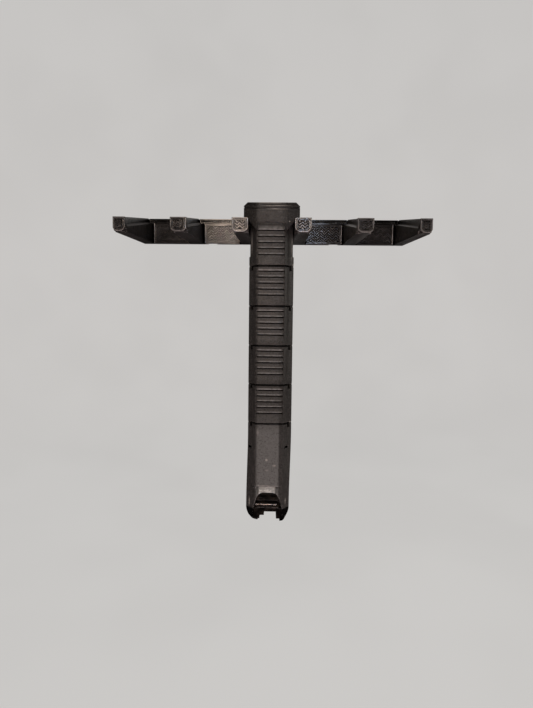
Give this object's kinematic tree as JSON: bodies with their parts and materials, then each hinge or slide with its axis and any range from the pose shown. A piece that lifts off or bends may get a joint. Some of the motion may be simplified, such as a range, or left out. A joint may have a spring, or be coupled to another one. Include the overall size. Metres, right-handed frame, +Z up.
{
  "type": "wall storage rack",
  "caption": "Printed plastic rack for a slotted wall board: a rail with forward arms that have sloping ledges and end stops, holding one ribbed solid display block.",
  "frame": {"origin": "middle of the rail's back face, which lies flat on the board", "axes": "+Z up, +Y into the board, +X along the rail, to the right as seen from the front"},
  "size_m": [0.1788, 0.073, 0.1978],
  "materials": {
    "rack_plastic": "layered print with a slight sheen",
    "block_plastic": "fine moulded grain, scuffed",
    "insert_plastic": "smooth, dark"
  },
  "bodies": {
    "rack": {"rail": "rack_plastic", "end_arm_left": "rack_plastic", "middle_arm_1": "rack_plastic", "middle_arm_2": "rack_plastic", "middle_arm_3": "rack_plastic", "middle_arm_4": "rack_plastic", "end_arm_right": "rack_plastic", "board_hook_left": "rack_plastic", "board_hook_right": "rack_plastic"},
    "display_block": {"display_body": "block_plastic", "display_cap": "block_plastic", "display_insert": "insert_plastic"}
  },
  "joints": [
    {"name": "block_lift", "type": "slide", "parent": "rack", "child": "display_block", "axis": [0, 0, 1], "range_m": [0, 0.19]}
  ]
}
